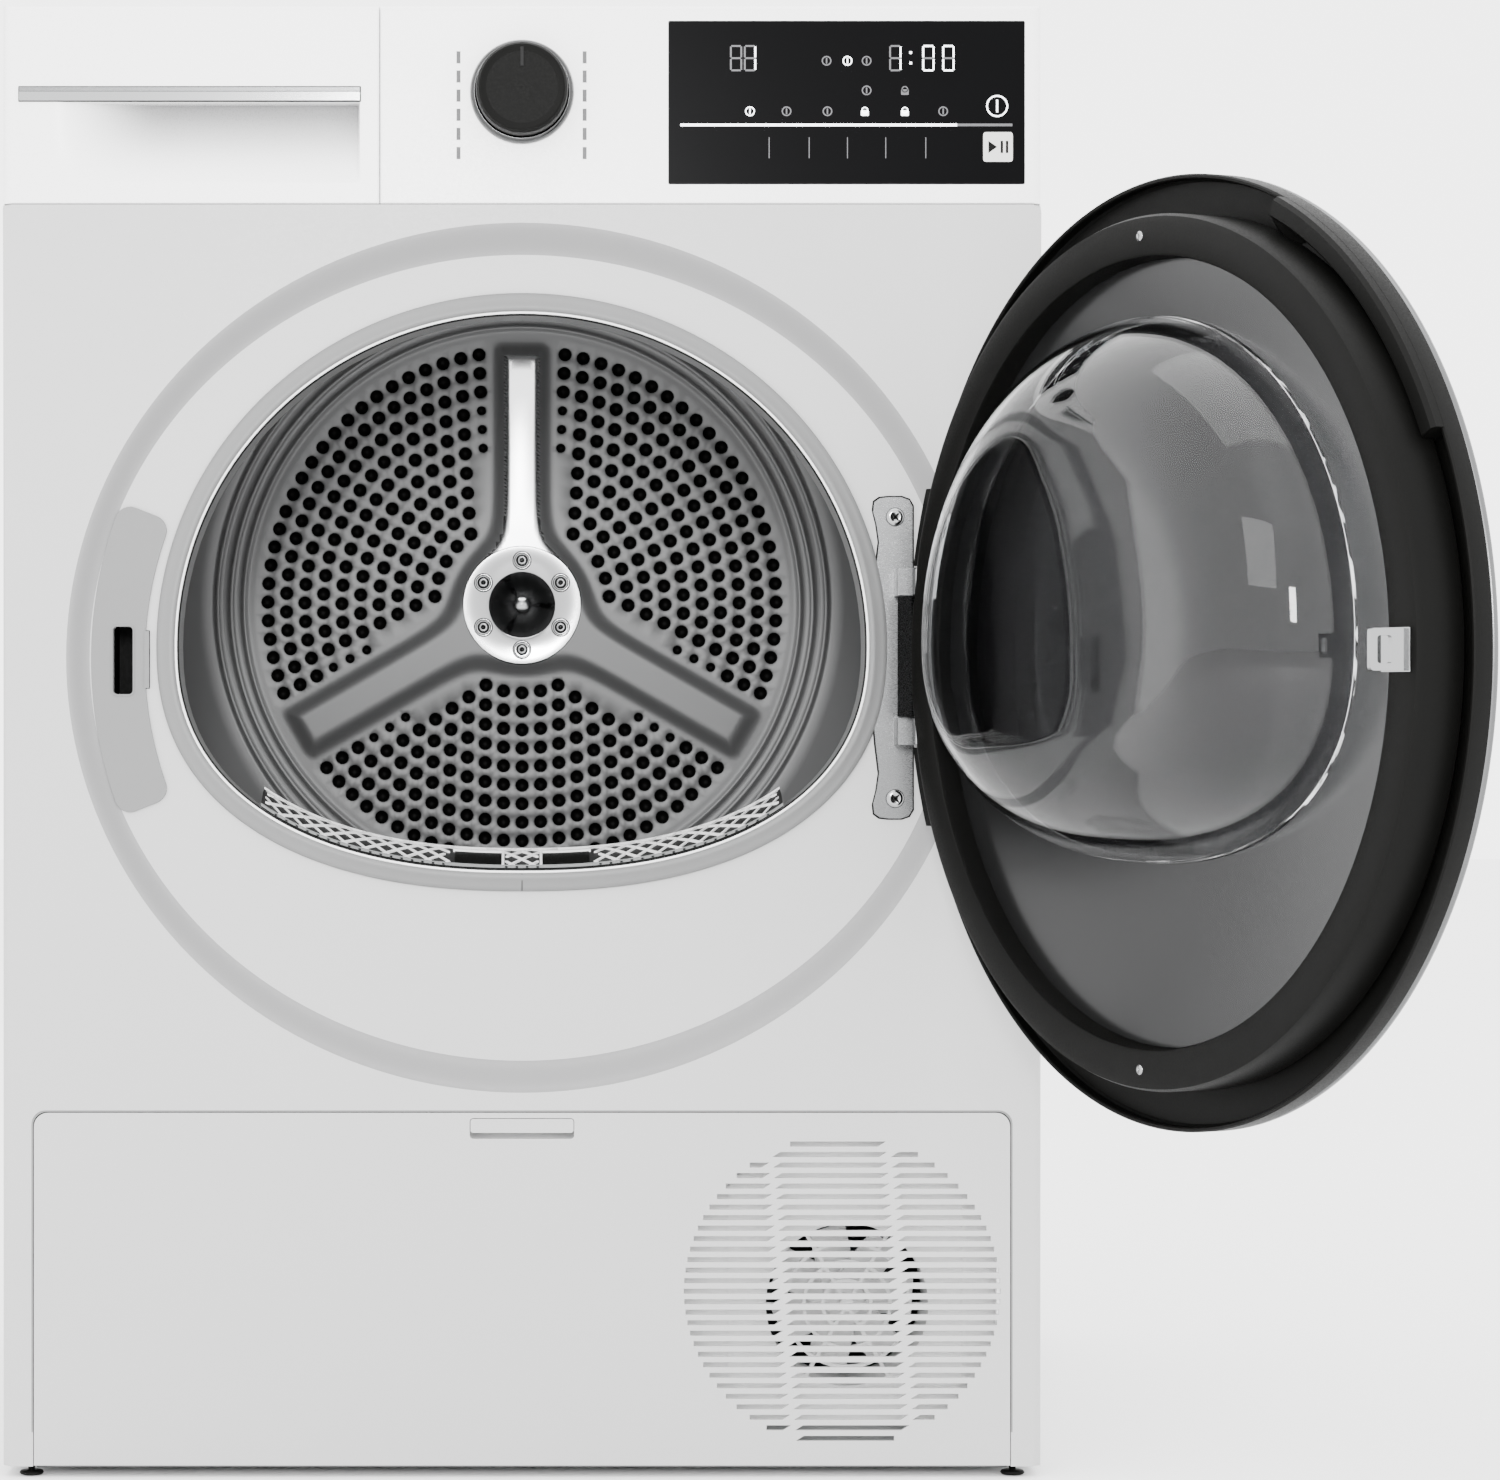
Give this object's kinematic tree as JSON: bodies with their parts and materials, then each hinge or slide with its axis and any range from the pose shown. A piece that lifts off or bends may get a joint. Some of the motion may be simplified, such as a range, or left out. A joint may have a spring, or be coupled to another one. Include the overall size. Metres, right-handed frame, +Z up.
{
  "type": "clothes dryer",
  "caption": "Free-standing condenser tumble dryer with a round front door, perforated drum, water-tank drawer and louvred kick plate.",
  "frame": {"origin": "on the floor, midway between the four feet", "axes": "+Z up, -Y is the front with the door, +X to the right seen from the front"},
  "size_m": [0.7571, 1.0274, 0.846],
  "materials": {
    "white_paint": "satin powder coat",
    "white_plastic": "fine satin",
    "grey_plastic": "satin",
    "light_plastic": "satin",
    "black_plastic": "satin",
    "black_gloss": "high gloss",
    "galvanised": "galvanised sheet",
    "drum_steel": "stainless, fine satin",
    "bright_steel": "polished",
    "satin_metal": "satin",
    "fins": "plain",
    "copper": "plain copper tube",
    "iron_black": "black enamel",
    "rubber": "matt",
    "felt": "felt",
    "clear_bowl": "clear moulded",
    "smoked_glass": "smoked",
    "tank_plastic": "translucent natural"
  },
  "bodies": {
    "cabinet": {"base_tray": "grey_plastic", "left_side_panel": "white_paint", "right_side_panel": "white_paint", "front_panel": "white_paint", "rear_panel": "galvanised", "rear_duct_cover": "galvanised", "worktop": "white_plastic", "control_panel": "white_plastic", "display_glass": "black_gloss", "front_bulkhead": "light_plastic", "mouth_seal": "light_plastic", "drum_felt_seals": "felt", "rear_bearing_bracket": "galvanised", "motor": "galvanised", "drive_belt": "rubber", "tension_spring": "bright_steel", "fan_housing": "grey_plastic", "compressor": "iron_black", "power_gland": "black_plastic", "evaporator": "fins", "condenser": "fins", "refrigerant_pipes": "copper", "condensate_pump": "grey_plastic", "exchanger_cover": "light_plastic", "latch_cover": "light_plastic", "door_lock": "black_plastic", "hinge_plate": "satin_metal", "cabinet_screws": "bright_steel"},
    "knob": {"programme_knob": "black_gloss", "knob_ring": "bright_steel"},
    "drum": {"drum_shell": "drum_steel", "drum_back": "drum_steel", "drum_hub": "bright_steel", "hub_bolts": "bright_steel", "drum_lifters": "drum_steel"},
    "left_roller": {"left_roller": "rubber"},
    "right_roller": {"right_roller": "rubber"},
    "motor_rotor": {"motor_pulley": "satin_metal", "process_fan": "light_plastic"},
    "tension_arm": {"tension_arm": "galvanised"},
    "tension_pulley": {"tension_pulley": "black_plastic"},
    "cooling_fan": {"cooling_fan": "light_plastic"},
    "tank_drawer": {"water_tank": "tank_plastic", "drawer_front": "white_plastic", "drawer_handle_strip": "satin_metal"},
    "lint_filter": {"lint_filter": "light_plastic"},
    "switch_button": {"switch_button": "light_plastic"},
    "door": {"door_outer_frame": "black_plastic", "door_inner_frame": "black_plastic", "door_glass": "smoked_glass", "door_bowl": "clear_bowl", "door_flange_ring": "satin_metal", "door_hook": "bright_steel", "door_hinge_block": "satin_metal"},
    "kick_plate": {"kick_plate": "white_plastic"},
    "kick_button": {"kick_button": "white_plastic"},
    "front_left_foot": {"front_left_foot": "grey_plastic"},
    "front_right_foot": {"front_right_foot": "grey_plastic"},
    "rear_left_foot": {"rear_left_foot": "grey_plastic"},
    "rear_right_foot": {"rear_right_foot": "grey_plastic"}
  },
  "joints": [
    {"name": "door_hinge", "type": "hinge", "parent": "cabinet", "child": "door", "pos_m": [0.2295, -0.304, 0.471], "axis": [0, 0, 1], "range_deg": [-116.3, 28.7]},
    {"name": "knob_turn", "type": "hinge", "parent": "cabinet", "child": "knob", "pos_m": [0, -0.29, 0.796], "axis": [0, 1, 0], "continuous": true},
    {"name": "tank_slide", "type": "slide", "parent": "cabinet", "child": "tank_drawer", "axis": [0, -1, 0], "range_m": [0, 0.35]},
    {"name": "filter_lift", "type": "slide", "parent": "cabinet", "child": "lint_filter", "axis": [0, 0, 1], "range_m": [0, 0.13]},
    {"name": "kick_plate_hinge", "type": "hinge", "parent": "cabinet", "child": "kick_plate", "pos_m": [0, -0.2775, 0.01], "axis": [1, 0, 0], "range_deg": [0, 90]},
    {"name": "kick_button_press", "type": "slide", "parent": "kick_plate", "child": "kick_button", "axis": [0, 0, -1], "range_m": [0, 0.003], "stiffness_N_per_m": 400, "springref_m": -0.002},
    {"name": "door_switch_press", "type": "slide", "parent": "cabinet", "child": "switch_button", "axis": [0, 1, 0], "range_m": [0, 0.004], "stiffness_N_per_m": 300, "springref_m": -0.002},
    {"name": "drum_spin", "type": "hinge", "parent": "cabinet", "child": "drum", "pos_m": [0, 0, 0.513], "axis": [0, 1, 0], "continuous": true},
    {"name": "left_roller_spin", "type": "hinge", "parent": "cabinet", "child": "left_roller", "pos_m": [-0.18919, -0.1945, 0.27084], "axis": [0, 1, 0], "continuous": true},
    {"name": "right_roller_spin", "type": "hinge", "parent": "cabinet", "child": "right_roller", "pos_m": [0.18919, -0.1945, 0.27084], "axis": [0, 1, 0], "continuous": true},
    {"name": "motor_spin", "type": "hinge", "parent": "cabinet", "child": "motor_rotor", "pos_m": [0.15, 0.16, 0.1], "axis": [0, 1, 0], "continuous": true},
    {"name": "tension_arm_swing", "type": "hinge", "parent": "cabinet", "child": "tension_arm", "pos_m": [0.122, 0.0885, 0.124], "axis": [0, 1, 0], "range_deg": [0, 6], "stiffness_Nm_per_rad": 2, "springref_deg": -17.19},
    {"name": "tension_pulley_spin", "type": "hinge", "parent": "tension_arm", "child": "tension_pulley", "pos_m": [0.07893, 0.1025, 0.1473], "axis": [0, 1, 0], "continuous": true},
    {"name": "cooling_fan_spin", "type": "hinge", "parent": "cabinet", "child": "cooling_fan", "pos_m": [0.188, -0.231, 0.097], "axis": [0, 1, 0], "continuous": true},
    {"name": "front_left_foot_height", "type": "slide", "parent": "cabinet", "child": "front_left_foot", "axis": [0, 0, -1], "range_m": [0, 0.015]},
    {"name": "front_right_foot_height", "type": "slide", "parent": "cabinet", "child": "front_right_foot", "axis": [0, 0, -1], "range_m": [0, 0.015]},
    {"name": "rear_left_foot_height", "type": "slide", "parent": "cabinet", "child": "rear_left_foot", "axis": [0, 0, -1], "range_m": [0, 0.015]},
    {"name": "rear_right_foot_height", "type": "slide", "parent": "cabinet", "child": "rear_right_foot", "axis": [0, 0, -1], "range_m": [0, 0.015]}
  ],
  "couplings": [
    {"joint": "left_roller_spin", "follows": "drum_spin", "ratio": -14.35},
    {"joint": "right_roller_spin", "follows": "drum_spin", "ratio": -14.35},
    {"joint": "motor_spin", "follows": "drum_spin", "ratio": 24.879},
    {"joint": "tension_pulley_spin", "follows": "drum_spin", "ratio": 18.5}
  ]
}
